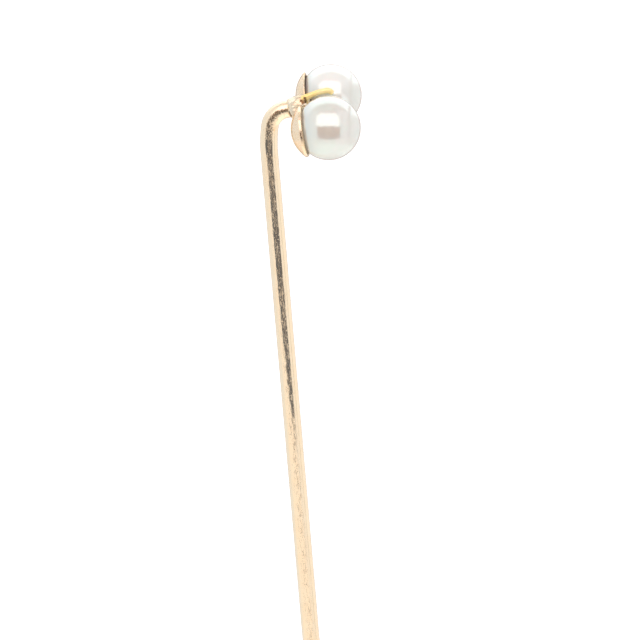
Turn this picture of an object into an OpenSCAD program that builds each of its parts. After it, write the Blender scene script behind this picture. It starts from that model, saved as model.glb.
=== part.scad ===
// Stick pin for a hat, lapel or cravat: a gold wire stem with a bent neck,
// and two pearls side by side, each cemented on a post in its own dished cup.
//
// Frame: millimetres. The origin is on the stem's axis at the top of its straight
// shank, where the neck starts to bend. +Z is up the stem, the point is down, and
// the pearls face -Y. The stem and its neck lie in the plane X = 0. The ornament mirrors
// itself in its own frame, which is turned a little on the neck's end.

/* [Stem] */
// Diameter of the round wire
stem_d = 1.10; // [0.8:0.05:1.4]
// Straight length below the neck, down to the tip of the point
stem_len = 59.0; // [45:0.5:90]
// Length of the ground taper that ends in the point
point_len = 9.0; // [5:0.5:15]
// Radius left on the very tip
tip_r = 0.10; // [0.06:0.01:0.2]
// How far the ground point swells past a straight cone, as a share of the wire's radius
point_swell = 0.12; // [0:0.01:0.2]

/* [Neck] */
// Radius of the slow curve at the foot of the neck
sweep_r = 8.8; // [7:0.1:14]
// Angle of that slow curve
sweep_angle = 11.5; // [6:0.5:14]
// Radius of the tight bend above it
bend_r = 1.32; // [1.1:0.02:1.6]
// Angle of the neck's end from upright
neck_angle = 85.0; // [80:0.5:88]

/* [Pearls] */
// Diameter of the left-hand pearl, which the cups are sized to
pearl_d = 4.0; // [3.8:0.05:4.1]
// How much smaller the right-hand pearl is
pearl_less = 0.10; // [0:0.02:0.2]
// Gap between the two pearls
pearl_gap = 0.02; // [0.02:0.01:0.1]
// Diameter of the hole drilled in each pearl
drill_d = 0.80; // [0.76:0.02:0.9]
// How far the hole runs past the pearl's middle
drill_past = 0.35; // [0.2:0.05:0.8]

/* [Head position] */
// Forward offset of the pearls' centres from the stem's axis
head_forward = 3.98; // [3.9:0.02:4.2]
// Height of the pearls' centres above the shank
head_rise = 2.48; // [2.3:0.01:2.6]
// Backward lean of the whole ornament
head_lean = 1.8; // [0:0.1:5]
// Tilt of the line through the pearls, the right-hand pearl higher
head_roll = 12.7; // [0:0.1:18]

/* [Cups] */
// Distance of the rim's plane behind the pearl's centre
rim_back = 1.50; // [1.3:0.02:1.6]
// Distance of the cup's back behind the pearl's centre
pole_back = 2.36; // [2.3:0.01:2.5]
// Outer radius of the cup's dished back
dish_r = 1.90; // [1.8:0.01:2.1]
// Radius of the rounded lip along the rim
lip_r = 0.07; // [0.04:0.01:0.1]
// Thickness of the cement between cup and pearl
cement_t = 0.08; // [0.05:0.01:0.12]
// Depth of the cement's edge below the rim
cement_sunk = 0.12; // [0.05:0.01:0.3]

/* [Posts] */
// Diameter of the post that each pearl is drilled to fit
post_d = 0.72; // [0.6:0.02:0.74]
// How far the post runs past the pearl's middle
post_past = 0.10; // [0:0.05:0.3]

/* [Bridge] */
// Radius of the solder bar that joins the two cups
bar_r = 0.50; // [0.4:0.02:0.6]
// Half length of that bar, between the centres of its round ends
bar_half = 0.56; // [0.4:0.02:0.8]
// Distance of the bar's axis behind the pearls' centres
bar_back = 2.02; // [1.9:0.02:2.2]
// Height of the bar's axis above the pearls' centres
bar_up = 0.50; // [0.3:0.02:0.7]
// Radius of the fillet of solder around the neck's end
collar_r = 0.64; // [0.58:0.01:0.75]

/* [Claw] */
// Diameter of the claw at its root
claw_root_d = 0.56; // [0.46:0.02:0.7]
// Diameter of the claw just before its rounded tip
claw_tip_d = 0.34; // [0.24:0.02:0.4]
// Angle of the claw's root from the forward direction
claw_rise = 31; // [20:1:45]
// Radius of the claw's sweep over the groove between the pearls
claw_sweep_r = 3.25; // [2.8:0.05:3.6]
// Radius of the hook at the claw's end
claw_hook_r = 0.36; // [0.3:0.02:0.6]
// Angle that the hook's end points below the forward direction
claw_dip = 58; // [20:1:70]
// Turn of the claw toward the right-hand pearl, which its end rests against
claw_turn = 8.5; // [0:0.5:9]

/* [Hidden] */

gold = [0.90, 0.74, 0.45];
solder_gold = [0.86, 0.72, 0.47];
claw_gold = [0.93, 0.72, 0.30];
cement_tan = [0.52, 0.40, 0.27];
pearl_white = [0.95, 0.94, 0.91];

fine = 96;                              // facets of a full turn in the preview
stem_r = stem_d / 2;
pearl_r = pearl_d / 2;
function own_r(side) = pearl_r - (side > 0 ? pearl_less / 2 : 0);   // each pearl's radius
pearl_x = pearl_r + pearl_gap / 2;      // each pearl's centre, left or right
dish_back = pole_back - dish_r;         // the dish's own centre, behind the pearl's
seat_r = pearl_r + cement_t;            // inside radius of the cup
rim_r = sqrt(dish_r * dish_r - pow(rim_back - dish_back, 2));   // outside, at the rim
cement_edge = rim_back + cement_sunk;
post_foot = pole_back - 0.2;            // the post is trimmed to the cup's inside

// Neck: the slow curve, then the tight one, both in the plane X = 0
neck1_y = -sweep_r * (1 - cos(sweep_angle));
neck1_z = sweep_r * sin(sweep_angle);
neck2_y = neck1_y - bend_r * (cos(sweep_angle) - cos(neck_angle));
neck2_z = neck1_z + bend_r * (sin(neck_angle) - sin(sweep_angle));
core_in = 0.03;                         // how far the core at each meeting lies below the surface
core_h = 0.2;                           // and its length

// A frame at the middle of the pearls: +X right, +Y backward, +Z up, leaning back and
// turned a little, so that the right-hand pearl sits higher
module at_head() {
    translate([0, -head_forward, head_rise]) rotate([-head_lean, -head_roll, 0]) children();
}

// A frame at one pearl's centre, with +Z pointing forward out of the cup
module at_pearl(side) {
    at_head() translate([side * pearl_x, 0, 0]) rotate([90, 0, 0]) children();
}

// A frame at the neck's end, with +Z running on along the wire
module at_neck_end() {
    translate([0, neck2_y, neck2_z]) rotate([neck_angle, 0, 0]) children();
}

// A bent length of round wire: turns about an axis along X, starting upward at the
// origin and curving toward -Y
module wire_bend(radius, from, to, wire_r) {
    translate([0, -radius, 0]) rotate([0, 90, 0]) rotate([0, 0, 90])
        rotate([0, 0, from]) rotate_extrude(angle = to - from, $fn = 2 * fine)
            translate([radius, 0]) circle(r = wire_r, $fn = fine);
}

// Half profile of the ground point, from the tip up to the full wire
function point_r(u) = tip_r + (stem_r - tip_r) * u + point_swell * stem_r * sin(180 * u);

module pin_stem() {
    steps = 12;
    color(gold) union() {
        // straight shank and ground point, turned as one profile
        rotate_extrude($fn = fine) polygon(concat(
            [[0, 0], [0, -stem_len]],
            [for (i = [0:3]) [tip_r * sin(90 * (i + 1) / 4),
                              -stem_len + tip_r * (1 - cos(90 * (i + 1) / 4))]],
            [for (i = [1:steps]) [min(stem_r, point_r(i / steps)),
                                  -stem_len + tip_r + (point_len - tip_r) * i / steps]],
            [[stem_r, 0]]));
        // slow curve at the foot of the neck
        wire_bend(sweep_r, 0, sweep_angle, stem_r);
        // tight bend that carries the wire forward to the ornament
        translate([0, neck1_y + bend_r * (1 - cos(sweep_angle)),
                   neck1_z - bend_r * sin(sweep_angle)])
            wire_bend(bend_r, sweep_angle, neck_angle, stem_r);
        // the three lengths are one wire: a core runs through each place where they meet
        cylinder(r = stem_r - core_in, h = core_h, center = true, $fn = 32);
        translate([0, neck1_y, neck1_z]) rotate([sweep_angle, 0, 0])
            cylinder(r = stem_r - core_in, h = core_h, center = true, $fn = 32);
    }
}

module cup(side) {
    color(gold) at_pearl(side) union() {
        difference() {
            translate([0, 0, -dish_back]) sphere(r = dish_r, $fn = fine);
            sphere(r = seat_r, $fn = fine);
            translate([0, 0, -rim_back]) cylinder(r = 2 * pearl_r, h = 2 * pearl_d, $fn = fine);
        }
        // rounded lip
        translate([0, 0, -rim_back]) rotate_extrude($fn = fine)
            translate([rim_r - lip_r, 0]) circle(r = lip_r, $fn = 32);
    }
}

module post(side) {
    color(gold) at_pearl(side) intersection() {
        translate([0, 0, -post_foot]) cylinder(d = post_d, h = post_foot + post_past, $fn = fine);
        sphere(r = seat_r, $fn = fine);
    }
}

// Cement: a thin bowl between cup and pearl, and the sleeve round the post
module cement(side) {
    color(cement_tan) at_pearl(side) difference() {
        union() {
            difference() {
                intersection() {
                    sphere(r = seat_r, $fn = fine);
                    translate([0, 0, -cement_edge - pearl_r])
                        cylinder(r = pearl_d, h = pearl_r, $fn = fine);
                }
                sphere(r = own_r(side), $fn = fine);
            }
            translate([0, 0, -pearl_r]) cylinder(d = drill_d, h = pearl_r + post_past, $fn = fine);
        }
        translate([0, 0, -pearl_d]) cylinder(d = post_d, h = 2 * pearl_d, $fn = fine);
    }
}

module pearl(side) {
    color(pearl_white) at_pearl(side) difference() {
        sphere(r = own_r(side), $fn = fine);
        translate([0, 0, -pearl_d]) cylinder(d = drill_d, h = pearl_d + drill_past, $fn = fine);
    }
}

// Claw: a tapered wire swept through a chain of computed rings, in the head's frame
claw_foot = [0, bar_back - 0.30, bar_up + 0.44];   // middle of its flat root
claw_n = 26;                                       // rings along it
claw_sides = 16;
sweep_part = 0.76;                                 // share of the rings before the hook
function claw_a(t) = t < sweep_part ? claw_rise * (1 - t / sweep_part)
    : -claw_dip * (t - sweep_part) / (1 - sweep_part);
function claw_radius(t) = (claw_root_d + (claw_tip_d - claw_root_d) * min(1, t / 0.35)) / 2;
// forward (-Y) and up (+Z) travel along the sweep, then along the hook
function claw_at(t) = t < sweep_part
    ? [claw_sweep_r * (sin(claw_rise) - sin(claw_a(t))),
       claw_sweep_r * (cos(claw_a(t)) - cos(claw_rise))]
    : claw_at(sweep_part - 0.0001) + [claw_hook_r * sin(-claw_a(t)),
                                      -claw_hook_r * (1 - cos(claw_a(t)))];
function claw_ring(t, r) = let (p = claw_at(t), a = claw_a(t))
    [for (k = [0:claw_sides - 1]) let (q = 360 * k / claw_sides)
        [r * cos(q), -p[0] + r * sin(q) * sin(a), p[1] + r * sin(q) * cos(a)]];

module claw() {
    cap = 4;                            // extra rings that round the tip
    end_r = claw_radius(1);
    end_a = claw_a(1);
    end_p = claw_at(1);
    rings = concat(
        [for (i = [0:claw_n]) claw_ring(i / claw_n, claw_radius(i / claw_n))],
        [for (j = [1:cap]) let (b = 90 * j / (cap + 0.4))
            [for (k = [0:claw_sides - 1]) let (q = 360 * k / claw_sides, s = end_r * sin(b))
                [end_r * cos(b) * cos(q),
                 -end_p[0] - s * cos(end_a) + end_r * cos(b) * sin(q) * sin(end_a),
                 end_p[1] + s * sin(end_a) + end_r * cos(b) * sin(q) * cos(end_a)]]]);
    m = len(rings);
    pts = [for (r = rings) for (p = r) p];
    faces = concat(
        [[for (k = [0:claw_sides - 1]) k]],
        [for (i = [0:m - 2]) for (k = [0:claw_sides - 1]) let (n = (k + 1) % claw_sides)
            [i * claw_sides + k, (i + 1) * claw_sides + k, (i + 1) * claw_sides + n,
             i * claw_sides + n]],
        [[for (k = [claw_sides - 1:-1:0]) (m - 1) * claw_sides + k]]);
    color(claw_gold) at_head() translate(claw_foot) rotate([0, 0, claw_turn])
        polyhedron(points = pts, faces = faces, convexity = 4);
}

// Bridge: a bar of solder between the two cups, a fillet round the neck's end, and
// the boss that carries the claw
module bridge() {
    big = 6;
    color(solder_gold) difference() {
        union() {
            at_head() translate([0, bar_back, bar_up]) {
                rotate([0, 90, 0]) translate([0, 0, -bar_half])
                    cylinder(r = bar_r, h = 2 * bar_half, $fn = fine);
                for (s = [-1, 1]) translate([s * bar_half, 0, 0]) sphere(r = bar_r, $fn = fine);
            }
            at_neck_end() cylinder(r1 = stem_r + 0.02, r2 = collar_r, h = 0.7, $fn = fine);
            at_head() translate(claw_foot) rotate([90 - claw_rise, 0, 0])
                translate([0, 0, -0.5]) cylinder(d = claw_root_d + 0.1, h = 0.5, $fn = fine);
        }
        // the cups' own backs shape its two ends
        for (s = [-1, 1]) at_pearl(s) translate([0, 0, -dish_back]) sphere(r = dish_r, $fn = fine);
        // flat faces where the neck and the claw meet it
        at_neck_end() translate([-big / 2, -big / 2, -big]) cube(big);
        at_head() translate(claw_foot) rotate([90 - claw_rise, 0, 0])
            translate([-big / 2, -big / 2, 0]) cube(big);
    }
}

module left_cup() { cup(-1); }
module right_cup() { cup(1); }
module left_post() { post(-1); }
module right_post() { post(1); }
module left_cement() { cement(-1); }
module right_cement() { cement(1); }
module left_pearl() { pearl(-1); }
module right_pearl() { pearl(1); }

pin_stem();
bridge();
claw();
left_cup();
right_cup();
left_post();
right_post();
left_cement();
right_cement();
left_pearl();
right_pearl();
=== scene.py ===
"""Visual model of a pearl stick pin: a bent gold wire, two dished cups, two pearls, one claw.

Lengths are written in millimetres in the pin's own frame and turned into metres as each
mesh is made. The stem's axis is Z, and the pearls face -Y. Places on the ornament are
written in the head's frame, whose origin lies midway between the pearls.
"""
import math

import bpy
import numpy as np
from mathutils import Matrix, Vector, noise


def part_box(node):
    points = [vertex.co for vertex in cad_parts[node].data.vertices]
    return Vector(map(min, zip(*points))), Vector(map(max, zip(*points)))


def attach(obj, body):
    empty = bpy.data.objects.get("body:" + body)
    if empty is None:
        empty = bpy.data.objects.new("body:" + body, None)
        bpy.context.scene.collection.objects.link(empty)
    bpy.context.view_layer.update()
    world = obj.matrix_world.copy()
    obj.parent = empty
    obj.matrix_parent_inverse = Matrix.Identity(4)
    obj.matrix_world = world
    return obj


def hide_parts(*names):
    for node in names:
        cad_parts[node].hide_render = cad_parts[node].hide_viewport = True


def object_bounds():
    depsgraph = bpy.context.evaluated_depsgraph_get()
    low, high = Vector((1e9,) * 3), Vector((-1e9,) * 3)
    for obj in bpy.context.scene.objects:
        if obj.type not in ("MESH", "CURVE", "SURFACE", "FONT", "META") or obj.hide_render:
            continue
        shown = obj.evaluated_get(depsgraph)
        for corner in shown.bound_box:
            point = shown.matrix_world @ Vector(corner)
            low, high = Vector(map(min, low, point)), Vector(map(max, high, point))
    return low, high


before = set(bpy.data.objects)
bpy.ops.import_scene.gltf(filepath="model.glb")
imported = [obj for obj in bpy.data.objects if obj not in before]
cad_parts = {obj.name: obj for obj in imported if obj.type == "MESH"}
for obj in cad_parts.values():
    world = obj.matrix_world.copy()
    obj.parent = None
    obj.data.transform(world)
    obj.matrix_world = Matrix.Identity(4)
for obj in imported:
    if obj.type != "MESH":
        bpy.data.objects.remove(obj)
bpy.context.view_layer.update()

MM = 0.001
ROOT = "root"

# ---------------------------------------------------------------- sizes, in millimetres
STEM_R = 0.55
POINT_LEN = 9.0
POINT_SWELL = 0.12       # how much fuller than a cone the ground point is, over the wire's radius
TIP_R = 0.10
SWEEP_R = 8.8            # slow curve at the foot of the neck
SWEEP_ANGLE = 11.5
BEND_R = 1.32            # tight bend above it
NECK_ANGLE = 85.0
PRESS_DEPTH = 0.024      # flats the pliers left on the sides of the bend
PRESS_REACH = 0.62       # their half width, in radians round the wire
WIRE_WAVE = 0.0045       # how far the wire is from round and straight
WIRE_GRAIN = 0.0012      # finer unevenness of its skin
HEAD_LEAN = 1.8          # the ornament leans back by this many degrees
SEAT_R = 2.08            # inside of a cup
DISH_R = 1.90            # outside of a cup
DISH_BACK = 0.46         # the dish's centre behind the pearl's
RIM_BACK = 1.50          # the rim's plane behind the pearl's centre
LIP_R = 0.075
BAND_STEP = 0.006        # the band outside a cup's rim stands this far out of the dish
BAND_GAP = 0.010         # and starts this far ahead of it
SEAT_EDGE = 0.03         # the cup's inside starts this far behind the rim's plane
PLANISH = 0.010          # depth of the hammer's facets on a cup
PLANISH_FINE = 0.0035
RIM_WAVE = 0.020         # how far a cup's rim is from level
RIM_WAVE_FINE = 0.006
CUP_TILT = 3.5           # the left cup is set this many degrees further back
LEFT_FORM = (2.36, 2.04, 0.045, 0.145)      # pole, dish_r, swell and band of cup_profile
RIGHT_FORM = (2.22, 2.20, 0.0, 0.05)
LEFT_AHEAD, RIGHT_AHEAD = 0.065, 0.09       # how far the cement is squeezed out of each cup
POST_R = 0.36
POST_PAST = 0.10
DRILL_R = 0.40
DRILL_PAST = 0.35
DRILL_MOUTH_R = DRILL_R + 0.04
OFF_ROUND = 0.010        # how far a pearl is from round
GROWTH = 0.0022          # height of its growth undulations
GROWTH_FINE = 0.0007
PEARL_SHY = 0.006        # a pearl's skin lies this far inside its CAD sphere
LIP_INSIDE_R = 1.425     # where the cement meets the inside of a cup's lip
CEMENT_DROP = 0.012      # its outer edge lies this far behind the rim's plane
CRUMBS = 0.035           # unevenness of the cement's edge
CRUMBS_FINE = 0.016
BAR_R = 0.50             # bar of solder between the cups
BAR_HALF = 0.56
BAR_BACK = 2.02
BAR_UP = 0.50
SOLDER_FLOW = 0.26       # how far solder rounds off where two shapes meet
SOLDER_SKIN = 0.16       # and how far beyond the lump itself it may run
SOLDER_LOW = (-1.35, 1.15, -0.55)           # the box it is cut in, in the head's frame
SOLDER_HIGH = (1.35, 3.05, 1.65)
SOLDER_LUMPS = 0.045     # depth of its unevenness
SOLDER_LUMPS_FINE = 0.024
CLAW_FOOT = (0, BAR_BACK - 0.30, BAR_UP + 0.44)
CLAW_ROOT_R = 0.29
CLAW_TIP_R = 0.175
CLAW_RISE = 31.0
CLAW_SWEEP_R = 3.25
CLAW_HOOK_R = 0.36
CLAW_DIP = 58.0
CLAW_TURN = 8.5          # toward the right pearl
CLAW_BREAK = 0.76        # share of the claw's rings before its hook
CLAW_THINS = 0.38        # share of them over which it thins
CLAW_WIDE = 0.9588       # its half width over its radius
CLAW_OVER = 0.873        # its height above its middle over its radius
CLAW_UNDER = 0.9894      # and below
CLAW_RIDGE = 0.24        # how much the claw is filed in toward a ridge on top
CLAW_SQUARE = 0.62       # its section at the root: 1 is round, less is squarer
CLAW_ROUNDING = 0.24     # how much rounder it is further on
CLAW_WAVE = 0.007        # unevenness of its skin

# how finely each shape is cut
WIRE_SIDES, CUP_SIDES, PEARL_SIDES, CEMENT_SIDES, CLAW_SIDES = 72, 200, 200, 160, 40
TIP_ROWS, POINT_ROWS, SWEEP_ROWS, BEND_ROWS, NECK_ROWS = 7, 60, 14, 40, 4
SHANK_STEP, NECK_STEP = 0.14, 0.08
DISH_ROWS, BAND_ROWS, LIP_ROWS, SEAT_ROWS = 44, 7, 14, 29
DRILL_ROWS, PEARL_ROWS = 8, 125
CEMENT_ROWS = 16
CLAW_ROWS, CLAW_TIP_ROWS = 70, 8
SOLDER_STEP = 0.032


# ---------------------------------------------------------------- where things are
def pearl_place(node):
    """Centre and radius of a pearl. Its front half is a whole sphere, so the box gives both."""
    lo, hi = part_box(node)
    r = (hi.x - lo.x) / 2
    return Vector(((lo.x + hi.x) / 2, lo.y + r, (lo.z + hi.z) / 2)) / MM, r / MM


LEFT_C, LEFT_R = pearl_place("left_pearl")
RIGHT_C, RIGHT_R = pearl_place("right_pearl")
HEAD_C = (LEFT_C + RIGHT_C) / 2
HEAD_ROLL = math.atan2(RIGHT_C.z - LEFT_C.z, RIGHT_C.x - LEFT_C.x)
HEAD_TURN = Matrix.Rotation(-HEAD_ROLL, 4, "Y") @ Matrix.Rotation(-math.radians(HEAD_LEAN), 4, "X")
HEAD = Matrix.Translation(HEAD_C) @ HEAD_TURN          # +X right, +Y back, +Z up
FACING = Matrix.Rotation(math.radians(90), 4, "X")     # turns +Z to point forward


def at_pearl(centre, tilt=0.0):
    """The frame of one cup and pearl, with +Z pointing forward out of the cup."""
    back = Matrix.Rotation(-math.radians(tilt), 4, "X")
    return Matrix.Translation(centre) @ HEAD_TURN @ back @ FACING


TIP_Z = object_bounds()[0].z / MM


# ---------------------------------------------------------------- mesh helpers
def wobble(p, scale, seed):
    """Smooth noise from -1 to 1, with `scale` waves to a millimetre."""
    return noise.noise(Vector((p[0] * scale + seed, p[1] * scale - seed, p[2] * scale + 2 * seed)))


def make_mesh(name, verts, faces, matrix=None):
    """A smooth-shaded object from points in millimetres."""
    if matrix is not None:
        m = np.array(matrix)
        verts = np.asarray(verts) @ m[:3, :3].T + m[:3, 3]
    mesh = bpy.data.meshes.new(name)
    mesh.from_pydata((np.asarray(verts) * MM).tolist(), [], [tuple(f) for f in faces])
    mesh.validate()
    mesh.shade_smooth()
    obj = bpy.data.objects.new(name, mesh)
    bpy.context.scene.collection.objects.link(obj)
    return obj


def skin(rings, loop=False):
    """Verts and faces of a skin over rings of points. Its ends are closed, or joined by loop."""
    rings = np.asarray(rings, float)
    m, n = rings.shape[:2]
    verts = rings.reshape(-1, 3)
    faces = []
    for i in range(m if loop else m - 1):
        a = i * n
        b = ((i + 1) % m) * n
        for k in range(n):
            k2 = (k + 1) % n
            faces.append((a + k, a + k2, b + k2, b + k))
    if not loop:
        first, last = len(verts), len(verts) + 1
        a = (m - 1) * n
        faces += [(first, (k + 1) % n, k) for k in range(n)]
        faces += [(last, a + k, a + (k + 1) % n) for k in range(n)]
        verts = np.vstack([verts, rings[0].mean(0), rings[-1].mean(0)])
    return verts, faces


def lathe(profile, sides, shape):
    """Rings of a turned profile of (radius, height) pairs, each point moved by shape(p, ring)."""
    rings = []
    for i, (r, h) in enumerate(profile):
        ring = []
        for k in range(sides):
            a = 2 * math.pi * k / sides
            p = Vector((r * math.cos(a), r * math.sin(a), h))
            ring.append(tuple(shape(p, i)))
        rings.append(ring)
    return rings


def finish_piece(obj, material, node):
    """Gives a piece its material and its body, and hides the CAD node it stands for."""
    obj.data.materials.clear()
    obj.data.materials.append(material)
    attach(obj, ROOT)
    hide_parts(node)


# ---------------------------------------------------------------- the stem
def stem_path():
    """Points, directions and radii along the wire, from the tip up and round the neck."""
    rows = []

    def point_radius(u):
        swell = POINT_SWELL * STEM_R * math.sin(math.pi * u)
        return min(STEM_R, TIP_R + (STEM_R - TIP_R) * u + swell)

    for i in range(TIP_ROWS):                            # rounded tip
        a = math.radians(90 * (i + 1) / TIP_ROWS)
        rows.append(((0, 0, TIP_Z + TIP_R * (1 - math.cos(a))), (0, 0, 1), TIP_R * math.sin(a)))
    for i in range(1, POINT_ROWS + 1):                   # ground point
        u = i / POINT_ROWS
        rows.append(((0, 0, TIP_Z + TIP_R + (POINT_LEN - TIP_R) * u), (0, 0, 1), point_radius(u)))
    z = TIP_Z + POINT_LEN
    steps = int(-z / SHANK_STEP)
    for i in range(1, steps + 1):                        # straight shank
        rows.append(((0, 0, z * (1 - i / steps)), (0, 0, 1), STEM_R))
    a1, a2 = math.radians(SWEEP_ANGLE), math.radians(NECK_ANGLE)
    for i in range(1, SWEEP_ROWS + 1):                   # slow curve
        a = a1 * i / SWEEP_ROWS
        rows.append(((0, -SWEEP_R * (1 - math.cos(a)), SWEEP_R * math.sin(a)),
                     (0, -math.sin(a), math.cos(a)), STEM_R))
    y1, z1 = -SWEEP_R * (1 - math.cos(a1)), SWEEP_R * math.sin(a1)
    for i in range(1, BEND_ROWS + 1):                    # tight bend
        a = a1 + (a2 - a1) * i / BEND_ROWS
        rows.append(((0, y1 - BEND_R * (math.cos(a1) - math.cos(a)),
                      z1 + BEND_R * (math.sin(a) - math.sin(a1))),
                     (0, -math.sin(a), math.cos(a)), STEM_R))
    y2, z2 = rows[-1][0][1:]
    for i in range(1, NECK_ROWS + 1):                    # on into the solder
        s = NECK_STEP * i
        rows.append(((0, y2 - math.sin(a2) * s, z2 + math.cos(a2) * s),
                     (0, -math.sin(a2), math.cos(a2)), STEM_R))
    return rows


def ease(v, a, b):
    """0 below a, 1 above b, smooth between. b may be the smaller."""
    u = min(1.0, max(0.0, (v - a) / (b - a)))
    return u * u * (3 - 2 * u)


def build_stem(material):
    """The wire, not quite round and not quite straight, pressed a little flat by the bending."""
    rings = []
    for p, d, r in stem_path():
        d = Vector(d)
        across = Vector((1, 0, 0))
        other = d.cross(across)
        bent = ease(p[2], -0.5, 1.0) * ease(p[1], -1.25, -0.6)    # 1 in the bend, 0 off it
        ring = []
        for k in range(WIRE_SIDES):
            a = 2 * math.pi * k / WIRE_SIDES
            out = across * math.cos(a) + other * math.sin(a)
            q = Vector(p) + out * r
            soft = WIRE_WAVE * wobble((out.x * 0.55, out.y * 0.55, q.z * 0.32), 1.6, 4.0)
            fine = WIRE_GRAIN * wobble((q.x, q.y, q.z * 0.45), 5.0, 9.0)
            turn = math.acos(min(1.0, abs(out.x))) / PRESS_REACH
            press = PRESS_DEPTH * bent * max(0.0, 1 - turn * turn) ** 2
            ring.append(tuple(q + out * ((soft + fine) * min(1, r / STEM_R) - press)))
        rings.append(ring)
    verts, faces = skin(rings)
    obj = make_mesh("stem_wire", verts, faces)
    finish_piece(obj, material, "pin_stem")


# ---------------------------------------------------------------- cups
def cup_profile(pole, dish_r, swell, band):
    """Outside of the dish from its back to the band, over the rounded lip, and back inside.

    pole is how far the dish's back lies behind the pearl's centre, dish_r its radius, swell
    how much it fills out toward the rim, and band the width of the turned edge there.
    """
    rim_r = math.sqrt(DISH_R ** 2 - (RIM_BACK - DISH_BACK) ** 2)
    deep = pole - RIM_BACK - band
    edge = math.acos(1 - deep / dish_r)
    rows = []
    for i in range(1, DISH_ROWS + 1):
        a = edge * i / DISH_ROWS
        depth = dish_r * (1 - math.cos(a))
        rows.append((dish_r * math.sin(a) + swell * (depth / deep) ** 2, depth - pole))
    foot_r = rows[-1][0]
    for i in range(1, BAND_ROWS + 1):                    # band, flaring a little to the rim
        u = i / BAND_ROWS
        rows.append((foot_r + BAND_STEP + (rim_r - foot_r - BAND_STEP) * u,
                     -RIM_BACK - band + BAND_GAP + (band - LIP_R * 0.8) * u))
    mid_r, mid_h = rows[-1][0] - LIP_R * 1.12, rows[-1][1] + LIP_R * 0.1
    # the lip runs from outside over to inside, and is a little wider than it is high
    for i in range(1, LIP_ROWS + 1):
        a = math.radians(3 + 177 * i / LIP_ROWS)
        rows.append((mid_r + LIP_R * 1.14 * math.cos(a), mid_h + LIP_R * math.sin(a)))
    start = math.acos(min(1, (RIM_BACK + SEAT_EDGE) / SEAT_R))
    for i in range(SEAT_ROWS):
        a = start * (1 - i / SEAT_ROWS)
        rows.append((SEAT_R * math.sin(a), -SEAT_R * math.cos(a)))
    return rows


def build_cup(name, centre, seed, tilt, form, material, node):
    """One dished cup, beaten by hand: shallow planished facets and a rim that isn't level."""
    profile = cup_profile(*form)
    outside = DISH_ROWS + BAND_ROWS

    def shape(p, i):
        out = Vector((p.x, p.y, p.z + DISH_BACK)).normalized()
        if i < outside + LIP_ROWS:
            share = min(1.0, 0.35 + i / outside)
            facet = PLANISH * wobble(p, 1.3, seed) + PLANISH_FINE * wobble(p, 3.4, seed + 5)
            p = p + out * facet * share
        if i > DISH_ROWS:
            level = RIM_WAVE * wobble((p.x, p.y, 0), 0.55, seed + 2)
            level += RIM_WAVE_FINE * wobble(p, 2.6, seed)
            near = 1.0 if outside <= i < outside + LIP_ROWS + 2 else 0.5
            p = p + Vector((0, 0, level * near))
        return p

    verts, faces = skin(lathe(profile, CUP_SIDES, shape))
    obj = make_mesh(name, verts, faces, at_pearl(centre, tilt))
    finish_piece(obj, material, node)


# ---------------------------------------------------------------- pearls
def build_pearl(name, centre, radius, seed, material, node):
    """A half-drilled pearl, very slightly off round, with faint growth undulations."""
    profile = [(0.02, DRILL_PAST), (DRILL_R * 0.6, DRILL_PAST), (DRILL_R, DRILL_PAST - 0.05)]
    mouth = -math.sqrt(radius ** 2 - DRILL_MOUTH_R ** 2)
    for i in range(1, DRILL_ROWS + 1):
        profile.append((DRILL_R, DRILL_PAST + (mouth + 0.05 - DRILL_PAST) * i / DRILL_ROWS))
    skin_from = len(profile)
    start = math.asin(DRILL_MOUTH_R / radius)
    for i in range(PEARL_ROWS):
        a = start + (math.pi - start) * i / PEARL_ROWS
        profile.append((radius * math.sin(a), -radius * math.cos(a)))

    def shape(p, i):
        if i < skin_from:
            return p
        out = p.normalized()
        round_off = OFF_ROUND * wobble(out, 0.9, seed)
        growth = GROWTH * wobble(out, 3.2, seed + 3) + GROWTH_FINE * wobble(out, 9.0, seed + 7)
        return p + out * (round_off + growth - PEARL_SHY)

    verts, faces = skin(lathe(profile, PEARL_SIDES, shape))
    obj = make_mesh(name, verts, faces, at_pearl(centre))
    finish_piece(obj, material, node)


# ---------------------------------------------------------------- cement
def build_cement(name, centre, radius, seed, tilt, ahead, material, node):
    """The cement: a thin bowl between cup and pearl, and its sleeve round the post.

    Its uneven edge is squeezed a little out of the cup, `ahead` of the rim.
    """
    profile = [(POST_R, POST_PAST), (DRILL_R, POST_PAST), (DRILL_R, -radius + 0.10)]
    low = math.asin((DRILL_R + 0.01) / radius)
    high = math.acos((RIM_BACK - ahead) / radius)
    for i in range(CEMENT_ROWS + 1):
        a = low + (high - low) * i / CEMENT_ROWS
        profile.append((radius * math.sin(a), -radius * math.cos(a)))
    edge_from = len(profile) - 1
    profile.append((radius * math.sin(high) + 0.020, ahead - RIM_BACK - CEMENT_DROP))
    profile.append((radius * math.sin(high) + 0.030, ahead / 2 - RIM_BACK - CEMENT_DROP))
    edge_to = len(profile) - 1
    profile.append((LIP_INSIDE_R, -RIM_BACK - CEMENT_DROP))
    outer = math.acos((RIM_BACK + 0.06) / SEAT_R)
    back = math.asin((POST_R + 0.001) / SEAT_R)
    for i in range(CEMENT_ROWS + 1):
        a = outer + (back - outer) * i / CEMENT_ROWS
        profile.append((SEAT_R * math.sin(a), -SEAT_R * math.cos(a)))

    def shape(p, i):
        if edge_from <= i <= edge_to:
            lump = CRUMBS * wobble(p, 1.5, seed) + CRUMBS_FINE * wobble(p, 5.0, seed + 1)
            p = p + Vector((0, 0, lump))
        return p

    verts, faces = skin(lathe(profile, CEMENT_SIDES, shape), loop=True)
    obj = make_mesh(name, verts, faces, at_pearl(centre, tilt))
    finish_piece(obj, material, node)


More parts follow.
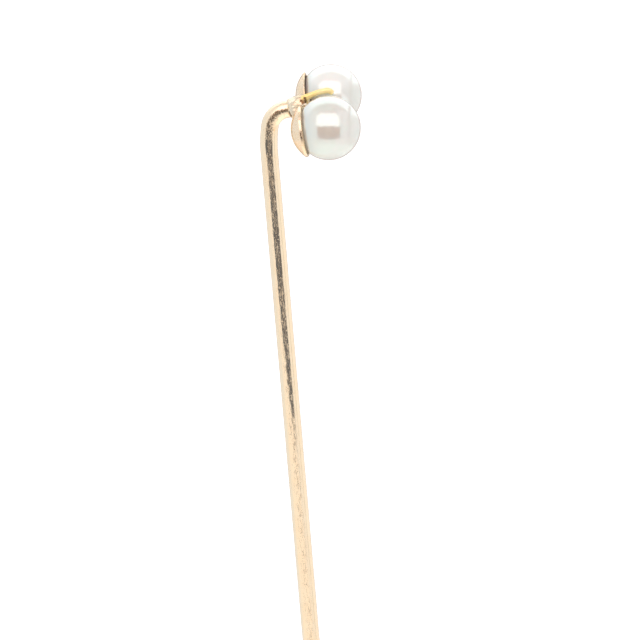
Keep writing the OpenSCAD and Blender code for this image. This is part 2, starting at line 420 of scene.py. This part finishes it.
# ---------------------------------------------------------------- claw
def claw_angle(t):
    """The claw's climb at t, from 0 at its root to 1 at its end. Down is negative."""
    if t < CLAW_BREAK:
        return math.radians(CLAW_RISE * (1 - t / CLAW_BREAK))
    return -math.radians(CLAW_DIP * (t - CLAW_BREAK) / (1 - CLAW_BREAK))


def claw_point(t):
    """Forward and upward travel from the claw's foot."""
    rise = math.radians(CLAW_RISE)
    u = min(t, CLAW_BREAK - 1e-6)
    a = claw_angle(u)
    f = CLAW_SWEEP_R * (math.sin(rise) - math.sin(a))
    h = CLAW_SWEEP_R * (math.cos(a) - math.cos(rise))
    if t >= CLAW_BREAK:
        b = claw_angle(t)
        f += CLAW_HOOK_R * math.sin(-b)
        h -= CLAW_HOOK_R * (1 - math.cos(b))
    return f, h


def build_claw(material):
    """The prong: filed to a blunt ridge, wide at its root, thinning to a hooked tip."""
    foot = Vector(CLAW_FOOT)
    rings = []

    def ring(t, r, forward=0.0):
        f, h = claw_point(t)
        a = claw_angle(t)
        along = Vector((0, -math.cos(a), math.sin(a)))
        up = Vector((0, math.sin(a), math.cos(a)))
        c = foot + Vector((0, -f, h)) + along * forward
        out = []
        for k in range(CLAW_SIDES):
            q = 2 * math.pi * k / CLAW_SIDES
            square = CLAW_SQUARE + CLAW_ROUNDING * min(1, t / 0.30)
            x = math.copysign(abs(math.cos(q)) ** square, math.cos(q))
            y = math.copysign(abs(math.sin(q)) ** square, math.sin(q))
            x *= CLAW_WIDE * (1 - CLAW_RIDGE * y)
            y *= CLAW_OVER if y > 0 else CLAW_UNDER
            p = c + Vector((1, 0, 0)) * x * r + up * y * r
            rough = CLAW_WAVE * wobble((p.x * 2, p.y * 0.9, p.z * 2), 2.0, 3.0)
            p = p + (p - c).normalized() * rough
            out.append(tuple(p))
        return out

    for i in range(4):                                   # root, buried in the solder
        rings.append(ring(0, CLAW_ROOT_R * (1.12 - 0.02 * i), -0.30 + 0.09 * i))
    for i in range(CLAW_ROWS + 1):
        t = i / CLAW_ROWS
        r = CLAW_ROOT_R + (CLAW_TIP_R - CLAW_ROOT_R) * min(1, t / CLAW_THINS) ** 0.8
        rings.append(ring(t, r))
    for i in range(1, CLAW_TIP_ROWS + 1):                # rounded tip
        b = math.radians(90 * i / (CLAW_TIP_ROWS + 0.3))
        rings.append(ring(1.0, CLAW_TIP_R * math.cos(b), CLAW_TIP_R * 0.9 * math.sin(b)))
    verts, faces = skin(rings)
    turn = Matrix.Rotation(math.radians(CLAW_TURN), 4, "Z")
    about = Matrix.Translation(foot) @ turn @ Matrix.Translation(-foot)
    obj = make_mesh("claw_prong", verts, faces, HEAD @ about)
    finish_piece(obj, material, "claw")


# ---------------------------------------------------------------- solder bridge
def capsule(p, a, b, r):
    """Distance from points p to a round-ended bar that runs from a to b."""
    d = b - a
    t = np.clip(((p - a) @ d) / (d @ d), 0, 1)[..., None]
    return np.linalg.norm(p - a - t * d, axis=-1) - r


def soft_min(a, b, k):
    """The smaller of two distances, blended where they differ by less than k."""
    h = np.clip(0.5 + 0.5 * (b - a) / k, 0, 1)
    return b * (1 - h) + a * h - k * h * (1 - h)


def surface_net(field, lo, step):
    """Quads over the zero surface of a sampled field, one point to each crossed cell."""
    inside = field < 0
    n = np.array(field.shape)
    total = np.zeros(tuple(n - 1) + (3,))
    count = np.zeros(tuple(n - 1))
    corners = [(i, j, k) for i in (0, 1) for j in (0, 1) for k in (0, 1)]

    def corner(a, c):
        return a[c[0]:c[0] + n[0] - 1, c[1]:c[1] + n[1] - 1, c[2]:c[2] + n[2] - 1]

    for c in corners:
        for axis in range(3):
            if c[axis]:
                continue
            d = list(c)
            d[axis] = 1
            fa, fb = corner(field, c), corner(field, d)
            cut = (fa < 0) != (fb < 0)
            t = np.where(cut, fa / np.where(cut, fa - fb, 1), 0)
            for ax in range(3):
                total[..., ax] += np.where(cut, c[ax] + (t if ax == axis else 0), 0)
            count += cut
    used = count > 0
    index = -np.ones(tuple(n - 1), int)
    index[used] = np.arange(used.sum())
    cells = np.argwhere(used)
    verts = lo + (cells + total[used] / count[used][:, None]) * step
    faces = []
    for axis in range(3):
        u, v = [a for a in range(3) if a != axis]
        first = [slice(None)] * 3
        second = [slice(None)] * 3
        first[axis] = slice(0, n[axis] - 1)
        second[axis] = slice(1, n[axis])
        change = inside[tuple(first)] != inside[tuple(second)]
        for g in np.argwhere(change):
            if g[u] < 1 or g[v] < 1 or g[u] >= n[u] - 1 or g[v] >= n[v] - 1:
                continue
            quad = []
            for du, dv in ((-1, -1), (0, -1), (0, 0), (-1, 0)):
                h = g.copy()
                h[u] += du
                h[v] += dv
                quad.append(int(index[tuple(h)]))
            flip = bool(inside[tuple(g)]) == (axis == 1)
            faces.append(tuple(reversed(quad)) if flip else tuple(quad))
    return verts, faces


def build_bridge(material):
    """The solder: a bar between the cups that flows up the neck's end and round the claw."""
    axes = [np.arange(a, b, SOLDER_STEP) for a, b in zip(SOLDER_LOW, SOLDER_HIGH)]
    grid = np.stack(np.meshgrid(*axes, indexing="ij"), axis=-1)
    place, way, _ = stem_path()[-1 - NECK_ROWS]          # where the tight bend ends
    end = np.array(HEAD.inverted() @ Vector(place))
    on = np.array(HEAD_TURN.inverted() @ Vector(way))
    bar = capsule(grid, np.array([-BAR_HALF, BAR_BACK, BAR_UP]),
                  np.array([BAR_HALF, BAR_BACK, BAR_UP]), BAR_R * 0.94)
    lift = np.array([0, 0.02, 0.10])
    # a collar round the neck's end, the neck it covers, and a boss round the claw's foot
    collar = capsule(grid, end + on * 0.42 + lift, end + on * 0.95 + lift, STEM_R + 0.02)
    neck = capsule(grid, end - on * 1.2, end + on * 0.3, STEM_R - 0.05)
    claw_foot = np.array(CLAW_FOOT)
    boss = capsule(grid, claw_foot + np.array([0, 0.42, -0.30]),
                   claw_foot + np.array([0, 0.10, -0.02]), CLAW_ROOT_R + 0.05)
    lump = soft_min(soft_min(bar, collar, SOLDER_FLOW), boss, 0.20)
    blob = soft_min(lump, neck, 0.07)
    half = (RIGHT_C - LEFT_C).length / 2
    cups = [np.linalg.norm(grid - np.array([s * half, DISH_BACK, 0]), axis=-1) - DISH_R
            for s in (-1, 1)]
    shell = np.minimum(*cups)
    # it flows onto the cups, but not far, nor through them, nor down the neck
    flowed = soft_min(blob, shell, SOLDER_FLOW)
    field = np.maximum(np.maximum(flowed, blob - SOLDER_SKIN), -(shell + 0.05))
    field = np.maximum(field, -((grid - end) @ on) - 0.55)
    near = np.abs(field) < 0.2
    lumps = np.zeros(field.shape)
    lumps[near] = [SOLDER_LUMPS * wobble(p, 2.3, 12.0) + SOLDER_LUMPS_FINE * wobble(p, 5.2, 21.0)
                   for p in grid[near]]
    field = field - lumps
    verts, faces = surface_net(field, np.array(SOLDER_LOW), SOLDER_STEP)
    obj = make_mesh("solder_bridge", verts, faces, HEAD)
    smoothing = obj.modifiers.new("ease", "SMOOTH")
    smoothing.factor = 0.5
    smoothing.iterations = 4
    fine_skin = obj.modifiers.new("skin", "SUBSURF")
    fine_skin.levels = 1
    fine_skin.render_levels = 1
    finish_piece(obj, material, "bridge")


# ---------------------------------------------------------------- material helpers
class Nodes:
    """Short names for building a node tree."""

    def __init__(self, tree):
        self.tree = tree

    def add(self, kind, **values):
        node = self.tree.nodes.new(kind)
        for key, value in values.items():
            setattr(node, key, value)
        return node

    def link(self, a, b):
        self.tree.links.new(a, b)

    def value(self, socket, v):
        if hasattr(v, "is_output"):
            self.link(v, socket)
        else:
            socket.default_value = v

    def math(self, op, a, b=None):
        node = self.add("ShaderNodeMath", operation=op)
        self.value(node.inputs[0], a)
        if b is not None:
            self.value(node.inputs[1], b)
        return node.outputs[0]

    def dot(self, vector, axis):
        node = self.add("ShaderNodeVectorMath", operation="DOT_PRODUCT")
        self.link(vector, node.inputs[0])
        node.inputs[1].default_value = axis
        return node.outputs["Value"]

    def millimetres(self):
        """Object coordinates in millimetres."""
        return self.mapped(self.add("ShaderNodeTexCoord").outputs["Object"], (1 / MM,) * 3)

    def mapped(self, coord, scale, shift=(0, 0, 0)):
        node = self.add("ShaderNodeMapping")
        self.link(coord, node.inputs["Vector"])
        node.inputs["Scale"].default_value = scale
        node.inputs["Location"].default_value = shift
        return node.outputs[0]

    def noise(self, coord, scale, detail=3.0, rough=0.55, warp=0.0):
        node = self.add("ShaderNodeTexNoise")
        self.link(coord, node.inputs["Vector"])
        node.inputs["Scale"].default_value = scale
        node.inputs["Detail"].default_value = detail
        node.inputs["Roughness"].default_value = rough
        node.inputs["Distortion"].default_value = warp
        return node.outputs["Fac"]

    def ramp(self, fac, stops):
        node = self.add("ShaderNodeValToRGB")
        self.link(fac, node.inputs[0])
        node.color_ramp.interpolation = "EASE"
        while len(node.color_ramp.elements) < len(stops):
            node.color_ramp.elements.new(0.5)
        for element, (position, colour) in zip(node.color_ramp.elements, stops):
            element.position = position
            element.color = (*colour, 1)
        return node.outputs[0]

    def span(self, v, a, b, c=0.0, d=1.0):
        """Smoothly maps a..b to c..d."""
        node = self.add("ShaderNodeMapRange", interpolation_type="SMOOTHSTEP")
        self.value(node.inputs["Value"], v)
        node.inputs["From Min"].default_value = a
        node.inputs["From Max"].default_value = b
        node.inputs["To Min"].default_value = c
        node.inputs["To Max"].default_value = d
        return node.outputs["Result"]

    def mix(self, fac, a, b):
        node = self.add("ShaderNodeMix", data_type="RGBA")
        self.value(node.inputs["Factor"], fac)
        self.value(node.inputs[6], a if hasattr(a, "is_output") else (*a, 1))
        self.value(node.inputs[7], b if hasattr(b, "is_output") else (*b, 1))
        return node.outputs[2]

    def bump(self, height, distance, under=None):
        node = self.add("ShaderNodeBump")
        self.link(height, node.inputs["Height"])
        node.inputs["Distance"].default_value = distance
        node.inputs["Strength"].default_value = 1.0
        if under is not None:
            self.link(under, node.inputs["Normal"])
        return node.outputs[0]


def new_material(name):
    """A material with its node helper, its shader, and object coordinates in millimetres."""
    mat = bpy.data.materials.new(name)
    mat.use_nodes = True
    n = Nodes(mat.node_tree)
    shader = next(x for x in mat.node_tree.nodes if x.type == "BSDF_PRINCIPLED")
    return mat, n, shader, n.millimetres()


# dark brown painted into crevices as painted shade
CREVICE_SHADE = (0.17, 0.10, 0.045)
ORANGE_PEEL = 0.012      # height of the bend's orange peel


def gold_material(name, light, deep, rough, worn, grain, dents, stretch, shade_spots=(), peel=None,
                  metal=1.0):
    """Polished old gold: clouded colour, scuffed grains among bright ones, shallow pits.

    rough is the bright metal's roughness and worn the scuffed grains'. grain is the share
    of scuffed grains, dents the depth of the pits, and stretch the way the marks run.
    shade_spots is a list of (point, reach) where the colour is painted dark: painted shade
    in a crevice. peel is the height over which the skin turns from smooth to the orange
    peel left by bending. metal below 1 gives a matt, brushed skin a share of plain scattering.
    """
    mat, n, shader, mm = new_material(name)
    cloud = n.noise(mm, 1.1, 4.0, 0.6, 0.4)
    spots = n.noise(mm, 6.5, 3.0, 0.6)
    colour = n.mix(n.span(cloud, 0.36, 0.66), light, deep)
    tarnish = n.span(spots, 0.60, 0.76, 0.0, 0.35)
    colour = n.mix(tarnish, colour, tuple(c * 0.74 for c in deep))
    # painted shade: each listed spot darkens the colour to dark brown, standing in for the shade in
    # a crevice
    for point, reach in shade_spots:                            # points are in the head's frame
        away = n.add("ShaderNodeVectorMath", operation="DISTANCE")
        n.link(mm, away.inputs[0])
        away.inputs[1].default_value = HEAD @ Vector(point)
        ragged = n.math("MULTIPLY", n.math("SUBTRACT", n.noise(mm, 7.0, 3.0, 0.6), 0.5), reach * 1.6)
        near = n.span(n.math("ADD", away.outputs["Value"], ragged), reach * 0.45, reach, 1.0, 0.0)
        colour = n.mix(near, colour, CREVICE_SHADE)
    n.link(colour, shader.inputs["Base Color"])
    shader.inputs["Metallic"].default_value = metal
    scuff = n.noise(n.mapped(mm, stretch), 13.0, 3.0, 0.75)
    patches = n.noise(mm, 0.9, 2.0, 0.5)
    scuff = n.math("ADD", scuff, n.math("MULTIPLY", n.math("SUBTRACT", patches, 0.5), 0.35))
    edge = 0.5 + 0.16 * (1 - 2 * grain)
    shine = n.span(scuff, edge - 0.03, edge + 0.05, rough, worn)
    pits = n.span(n.noise(mm, 8.0, 2.0, 0.6), 0.66, 0.74, 1.0, 0.0)
    low = n.bump(pits, dents * MM)
    lines = n.noise(n.mapped(mm, stretch, (3.1, 1.7, 0.4)), 5.0, 2.0, 0.5)
    hair = n.span(n.math("ABSOLUTE", n.math("SUBTRACT", lines, 0.5)), 0.0, 0.012, 0.0, 1.0)
    marks = n.bump(hair, dents * 0.4 * MM, low)
    if peel:
        parts = n.add("ShaderNodeSeparateXYZ")
        n.link(mm, parts.inputs[0])
        bent = n.span(parts.outputs["Z"], *peel)
        lumps = n.math("MULTIPLY", n.noise(mm, 7.5, 2.0, 0.5), bent)
        marks = n.bump(lumps, ORANGE_PEEL * MM, marks)
        shine = n.math("ADD", shine, n.math("MULTIPLY", bent, 0.11))
    n.link(shine, shader.inputs["Roughness"])
    n.link(marks, shader.inputs["Normal"])
    return mat


NACRE_DRIFT = [(0.25, (0.61, 0.55, 0.50)), (0.48, (0.64, 0.55, 0.51)),
               (0.62, (0.61, 0.56, 0.50)), (0.85, (0.65, 0.56, 0.51))]
NACRE_VEIL = (0.56, 0.52, 0.48)
NACRE_TOP_LIGHT = (0.97, 0.97, 0.97)
NACRE_INNER = (0.96, 0.95, 0.92)
NACRE_CUP_SHADE = (0.50, 0.49, 0.46)


def pearl_material(name, seed, centre, crown):
    """Nacre: a rosy grey body under a cool soft mirror, with growth marks.

    crown, from 0 to 1, is how much whiter the top is painted than the sides: painted light.
    The side facing the other pearl is paler too, because the two light each other there.
    """
    mat, n, shader, mm = new_material(name)
    drift = n.noise(n.mapped(mm, (1, 1, 1), (seed, 0, seed)), 0.45, 3.0, 0.5, 0.6)
    body = n.ramp(drift, NACRE_DRIFT)
    veil = n.noise(n.mapped(mm, (1, 1, 1), (0, seed, 0)), 3.6, 5.0, 0.6, 1.0)
    body = n.mix(n.span(veil, 0.55, 0.8, 0.0, 0.30), body, NACRE_VEIL)
    forward = -(HEAD_TURN.to_3x3() @ Vector((0, 1, 0)))
    sideways = HEAD_TURN.to_3x3() @ Vector((1, 0, 0))
    rim = centre.dot(forward) - RIM_BACK
    # painted shade: the nacre is darkened toward the cup's rim, where the cup shades it
    cup_shade = n.span(n.dot(mm, forward), rim - 0.05, rim + 0.85, 0.40, 0.0)
    # painted light: the top is whitened by crown, as if lit from above
    top = n.span(n.dot(mm, (0, 0, 1)), centre.z + 0.50, centre.z + 1.75, 0.0, crown)
    body = n.mix(top, body, NACRE_TOP_LIGHT)
    off_middle = n.math("SUBTRACT", n.dot(mm, sideways), HEAD_C.dot(sideways))
    off_middle = n.math("ABSOLUTE", off_middle)
    body = n.mix(n.span(off_middle, 0.30, 0.64, 0.80, 0.0), body, NACRE_INNER)
    body = n.mix(cup_shade, body, NACRE_CUP_SHADE)
    n.link(body, shader.inputs["Base Color"])
    shader.inputs["IOR"].default_value = 3.5
    shader.inputs["Specular Tint"].default_value = (0.64, 0.97, 1.0, 1)
    shader.inputs["Subsurface Weight"].default_value = 0.55
    shader.inputs["Subsurface Radius"].default_value = (1.0, 0.85, 0.7)
    shader.inputs["Subsurface Scale"].default_value = 0.0009
    shader.inputs["Coat Weight"].default_value = 0.60
    shader.inputs["Coat Roughness"].default_value = 0.12
    shader.inputs["Coat IOR"].default_value = 1.6
    mott = n.noise(mm, 2.4, 3.0, 0.5)
    n.link(n.span(mott, 0.3, 0.7, 0.13, 0.19), shader.inputs["Roughness"])
    growth = n.noise(n.mapped(mm, (1, 1, 1), (seed, seed, 0)), 7.5, 4.0, 0.6, 0.5)
    n.link(n.bump(growth, 0.0012 * MM), shader.inputs["Normal"])
    return mat


def cement_material(name, dark, brown, pale):
    """Old cement, dull and crumbly; its given colours also carry painted light (left cup) and
    painted shadow (right cup).
    """
    mat, n, shader, mm = new_material(name)
    crumbs = n.noise(mm, 9.0, 5.0, 0.65)
    n.link(n.ramp(crumbs, [(0.3, dark), (0.55, brown), (0.8, pale)]), shader.inputs["Base Color"])
    n.link(n.span(crumbs, 0.3, 0.7, 0.55, 0.9), shader.inputs["Roughness"])
    n.link(n.bump(crumbs, 0.02 * MM), shader.inputs["Normal"])
    return mat


def floor_material():
    """Plain white paper with a very faint tooth."""
    mat, n, shader, mm = new_material("white_paper")
    tooth = n.noise(mm, 0.8, 4.0, 0.6)
    n.link(n.ramp(tooth, [(0.3, PAPER_DARK), (0.7, PAPER_LIGHT)]), shader.inputs["Base Color"])
    shader.inputs["Roughness"].default_value = 0.9
    shader.inputs["Specular IOR Level"].default_value = 0.1
    return mat


# ---------------------------------------------------------------- camera, light, floor
CAM_AZ, CAM_EL, CAM_ROLL = -85.32, 20.0, 4.75            # degrees
CAM_DIST = 300.0
CAM_SPAN = 4739.9 / 640                                  # focal length over the frame's width
CAM_AIM = Vector((0, -2.297, -11.28))
SENSOR = 36.0
TENT_WHITE = (1.0, 1.0, 1.0)
TENT_LEFT, TENT_RIGHT = (0.93, 0.98, 1.02), (1.10, 1.08, 1.06)      # cool and warm
TENT_DIM = (0.84, 0.84, 0.80)                            # above the panel
TENT_CROWN = (1.7, 1.68, 1.66)                           # high up behind
TENT_SEAM = (0.80, 0.80, 0.78)                           # on the right
TABLE, TABLE_LIT = (1.12, 1.06, 1.0), (1.42, 1.38, 1.28)
PANEL, PANEL_EDGE = (2.2, 1.8, 1.72), (1.02, 0.74, 0.74)
ROOM = (0.52, 0.51, 0.49)                                # far behind the object
OPENING_OUT = 450.0
OPENING_OUTLINE = ((-445, 234), (-415, 0), (-385, -200), (-385, -217), (-309, -211), (-187, -195),
                   (-41, -189), (4, -191), (164, -202), (292, -227), (365, -238), (361, -70),
                   (418, 156), (6, 186))
OPENING_LOW, OPENING_HIGH = (0.155, 0.175, 0.21), (0.18, 0.135, 0.10)
OPENING_FOLD = (0.30, 0.24, 0.19)
FLOOR_GAP = 0.02         # the paper lies this far under the pin's point
FLOOR_HALF = 3500.0
FLOOR_STEPS = 8
PAPER_DARK, PAPER_LIGHT = (0.955, 0.955, 0.955), (0.97, 0.97, 0.97)
LAMP_PLACE = (-0.25, -0.35, 0.9)                         # metres
LAMP_AIM = (0, 0, -0.02)
LAMP_SIZE = 0.9
LAMP_WATTS = 0.5


def camera_axes():
    """The camera's right, up and backward directions."""
    a, e, r = (math.radians(v) for v in (CAM_AZ, CAM_EL, CAM_ROLL))
    back = Vector((math.sin(a) * math.cos(e), -math.cos(a) * math.cos(e), math.sin(e)))
    right = (-back).cross(Vector((0, 0, 1))).normalized()
    up = right.cross(-back)
    turned_right = right * math.cos(r) - up * math.sin(r)
    turned_up = right * math.sin(r) + up * math.cos(r)
    return turned_right, turned_up, back


def build_camera():
    """The photograph's own viewpoint."""
    data = bpy.data.cameras.new("camera")
    data.sensor_width = SENSOR
    data.lens = SENSOR * CAM_SPAN
    data.clip_start = 0.01
    data.clip_end = 20.0
    cam = bpy.data.objects.new("camera", data)
    bpy.context.scene.collection.objects.link(cam)
    right, up, back = camera_axes()
    turn = Matrix((right, up, back)).transposed().to_4x4()
    cam.matrix_world = Matrix.Translation((CAM_AIM + back * CAM_DIST) * MM) @ turn
    bpy.context.scene.camera = cam


def tent_colour(n, s, t):
    """The tent's colours, as a mirror ball would show them from the photograph's viewpoint.

    s runs right and t up, each from -1 to 1.
    """
    def band(v, a, b, soft):
        rise = n.span(v, a - soft, a + soft)
        fall = n.span(v, b - soft, b + soft, 1.0, 0.0)
        return n.math("MULTIPLY", rise, fall)

    def patch(s0, s1, t0, t1, soft):
        return n.math("MULTIPLY", band(s, s0, s1, soft), band(t, t0, t1, soft))

    edge = n.math("SQRT", n.math("ADD", n.math("MULTIPLY", s, s), n.math("MULTIPLY", t, t)))
    sky = n.mix(n.span(s, 0.30, 0.80), TENT_WHITE, TENT_RIGHT)
    sky = n.mix(n.span(t, 0.48, 0.56), sky, TENT_DIM)
    crown = n.math("MULTIPLY", n.span(edge, 0.73, 0.79), n.span(t, 0.30, 0.50))
    sky = n.mix(crown, sky, TENT_CROWN)
    sky = n.mix(n.span(s, -0.30, -0.80, 0.0, 0.8), sky, TENT_LEFT)
    sky = n.mix(patch(0.60, 0.66, -0.4, 0.7, 0.015), sky, TENT_SEAM)
    sky = n.mix(n.span(t, -0.30, -0.36), sky, TABLE)
    under = n.math("MULTIPLY", n.span(t, -0.42, -0.60), n.span(s, -0.52, -0.28))
    under = n.math("MULTIPLY", under, n.span(t, -0.92, -0.80))
    sky = n.mix(under, sky, TABLE_LIT)
    sky = n.mix(patch(-0.30, 0.26, 0.44, 0.50, 0.015), sky, PANEL_EDGE)
    # the panel narrows at its top
    side = n.math("MULTIPLY", n.span(t, 0.30, 0.44), 0.12)
    panel = n.math("MULTIPLY", n.span(n.math("ADD", s, side), 0.31, 0.35, 1.0, 0.0),
                   n.span(n.math("SUBTRACT", s, side), -0.405, -0.365))
    panel = n.math("MULTIPLY", panel, band(t, 0.035, 0.44, 0.02))
    sky = n.mix(panel, sky, PANEL)
    return n.mix(n.span(edge, 0.955, 0.985), sky, ROOM)


def build_world():
    """A white light tent with a bright panel over the photographer's lens.

    It stands still round the object, whatever camera looks at it. A camera ray sees plain
    white.
    """
    world = bpy.data.worlds.new("light_tent")
    bpy.context.scene.world = world
    world.use_nodes = True
    n = Nodes(world.node_tree)
    out = next(x for x in world.node_tree.nodes if x.type == "OUTPUT_WORLD")
    tent = next(x for x in world.node_tree.nodes if x.type == "BACKGROUND")
    # a mirror ball's normal lies half way between the ray and the way back to the lens
    right, up, back = camera_axes()
    half = n.add("ShaderNodeVectorMath", operation="ADD")
    n.link(n.add("ShaderNodeTexCoord").outputs["Generated"], half.inputs[0])
    half.inputs[1].default_value = back
    unit = n.add("ShaderNodeVectorMath", operation="NORMALIZE")
    n.link(half.outputs[0], unit.inputs[0])
    sky = tent_colour(n, n.dot(unit.outputs[0], right), n.dot(unit.outputs[0], up))
    n.link(sky, tent.inputs["Color"])
    tent.inputs["Strength"].default_value = 1.0
    plain = n.add("ShaderNodeBackground")
    plain.inputs["Color"].default_value = (1, 1, 1, 1)
    plain.inputs["Strength"].default_value = 1.0
    choose = n.add("ShaderNodeMixShader")
    n.link(n.add("ShaderNodeLightPath").outputs["Is Camera Ray"], choose.inputs[0])
    n.link(tent.outputs[0], choose.inputs[1])
    n.link(plain.outputs[0], choose.inputs[2])
    n.link(choose.outputs[0], out.inputs["Surface"])


def build_opening():
    """The tent's dark opening in front: a flat sheet that only reflections can see.

    OPENING_OUTLINE is measured across and up from the stem's top, on an upright sheet that
    faces the stem from OPENING_OUT away.
    """
    a = math.radians(CAM_AZ)
    out = Vector((math.sin(a), -math.cos(a), 0))
    across = Vector((-out.y, out.x, 0))
    if across.dot(camera_axes()[0]) < 0:
        across = -across
    centre = out * OPENING_OUT
    verts = [tuple(centre + across * x + Vector((0, 0, z))) for x, z in OPENING_OUTLINE]
    obj = make_mesh("tent_opening", verts, [tuple(range(len(verts)))])
    mat = bpy.data.materials.new("tent_dark")
    mat.use_nodes = True
    n = Nodes(mat.node_tree)
    mat.node_tree.nodes.clear()
    mm = n.millimetres()
    parts = n.add("ShaderNodeSeparateXYZ")
    n.link(mm, parts.inputs[0])
    tone = n.mix(n.span(parts.outputs["Z"], -150.0, -60.0), OPENING_LOW, OPENING_HIGH)
    folds = n.noise(mm, 0.012, 3.0, 0.6)
    tone = n.mix(n.span(folds, 0.45, 0.75, 0.0, 0.5), tone, OPENING_FOLD)
    glow = n.add("ShaderNodeEmission")
    n.link(tone, glow.inputs["Color"])
    end = n.add("ShaderNodeOutputMaterial")
    n.link(glow.outputs[0], end.inputs["Surface"])
    obj.data.materials.append(mat)
    obj.visible_camera = False
    obj.visible_diffuse = False
    obj.visible_shadow = False
    obj.visible_transmission = False


def build_floor():
    """A wide sheet of white paper under the pin's point."""
    z = TIP_Z - FLOOR_GAP
    row = FLOOR_STEPS + 1
    places = [FLOOR_HALF * (2 * i / FLOOR_STEPS - 1) for i in range(row)]
    verts = [(x, y, z) for x in places for y in places]
    faces = []
    for i in range(FLOOR_STEPS):
        for j in range(FLOOR_STEPS):
            a = i * row + j
            faces.append((a, a + row, a + row + 1, a + 1))
    obj = make_mesh("floor_paper", verts, faces)
    obj.data.materials.append(floor_material())
    obj.visible_glossy = False


def build_lights():
    """One broad soft lamp overhead, to round the pearls and lift the paper."""
    data = bpy.data.lights.new("soft_top", "AREA")
    data.shape = "DISK"
    data.size = LAMP_SIZE
    data.energy = LAMP_WATTS
    lamp = bpy.data.objects.new("soft_top", data)
    lamp.location = LAMP_PLACE
    aim = Vector(LAMP_AIM) - Vector(LAMP_PLACE)
    lamp.rotation_mode = "QUATERNION"
    lamp.rotation_quaternion = aim.to_track_quat("-Z", "Y")
    lamp.visible_glossy = False
    bpy.context.scene.collection.objects.link(lamp)


# ---------------------------------------------------------------- the scene
def main():
    scene = bpy.context.scene
    scene.view_settings.view_transform = "Standard"
    scene.view_settings.look = "None"
    build_camera()
    build_world()
    build_lights()
    build_floor()
    build_opening()

    # painted shade: dark spots under the neck's end and round the claw's root, where those crevices
    # are shaded
    neck_notch_shade = [((-0.74, 2.44, 0.56), 0.17), ((-0.80, 2.40, 0.50), 0.17), ((-0.88, 2.36, 0.47), 0.14)]
    root = [((-0.16, 1.43, 1.22), 0.12), ((-0.19, 1.40, 1.08), 0.12), ((-0.25, 1.65, 1.07), 0.13),
            ((-0.28, 1.56, 1.00), 0.17), ((-0.22, 1.42, 0.98), 0.13)]
    stem_gold = gold_material(
        "stem_gold", (0.93, 0.77, 0.57), (0.93, 0.75, 0.54), rough=0.040, worn=0.40, grain=0.24,
        dents=0.005, stretch=(1, 1, 0.16), shade_spots=neck_notch_shade, peel=(0.4, 1.8))
    cup_gold = gold_material(
        "cup_gold", (0.91, 0.74, 0.55), (0.91, 0.70, 0.48), rough=0.11, worn=0.34, grain=0.50,
        dents=0.012, stretch=(0.8, 0.8, 0.8))
    solder_gold = gold_material(
        "solder_gold", (0.82, 0.73, 0.58), (0.70, 0.57, 0.41), rough=0.14, worn=0.34, grain=0.50,
        dents=0.035, stretch=(0.6, 0.6, 0.6), shade_spots=neck_notch_shade + root)
    claw_gold = gold_material(
        "claw_gold", (0.91, 0.75, 0.39), (0.85, 0.66, 0.25), rough=0.28, worn=0.46, grain=0.35,
        dents=0.012, stretch=(1, 0.3, 1), shade_spots=root, metal=0.50)
    # painted light: the left cement is pale and yellow, standing in for the gold's warm light
    # reflected into the gap
    cement_mat_painted_light = cement_material(
        "cement_left_painted_light", dark=(0.22, 0.17, 0.10), brown=(0.46, 0.37, 0.23), pale=(0.60, 0.50, 0.34))
    # painted shadow: the right cement is near black, standing in for the shadow in the gap between
    # rim and pearl
    cement_mat_painted_shade = cement_material(
        "cement_right_painted_shade", dark=(0.02, 0.012, 0.006), brown=(0.075, 0.045, 0.022),
        pale=(0.19, 0.12, 0.06))
    pearl_l = pearl_material("nacre_left", seed=0.0, centre=LEFT_C, crown=0.0)
    pearl_r = pearl_material("nacre_right", seed=4.7, centre=RIGHT_C, crown=0.42)

    build_stem(stem_gold)
    build_cup("cup_left", LEFT_C, 1.0, CUP_TILT, LEFT_FORM, cup_gold, "left_cup")
    build_cup("cup_right", RIGHT_C, 6.0, 0.0, RIGHT_FORM, cup_gold, "right_cup")
    build_bridge(solder_gold)
    build_claw(claw_gold)
    build_cement("cement_left_painted_light", LEFT_C, LEFT_R, 2.0, CUP_TILT, LEFT_AHEAD, cement_mat_painted_light,
                 "left_cement")
    build_cement("cement_right_painted_shade", RIGHT_C, RIGHT_R, 8.0, 0.0, RIGHT_AHEAD, cement_mat_painted_shade,
                 "right_cement")
    build_pearl("pearl_left", LEFT_C, LEFT_R, 3.0, pearl_l, "left_pearl")
    build_pearl("pearl_right", RIGHT_C, RIGHT_R, 11.0, pearl_r, "right_pearl")
    for node in ("left_post", "right_post"):
        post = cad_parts[node]
        post.data.materials.clear()
        post.data.materials.append(cup_gold)


main()
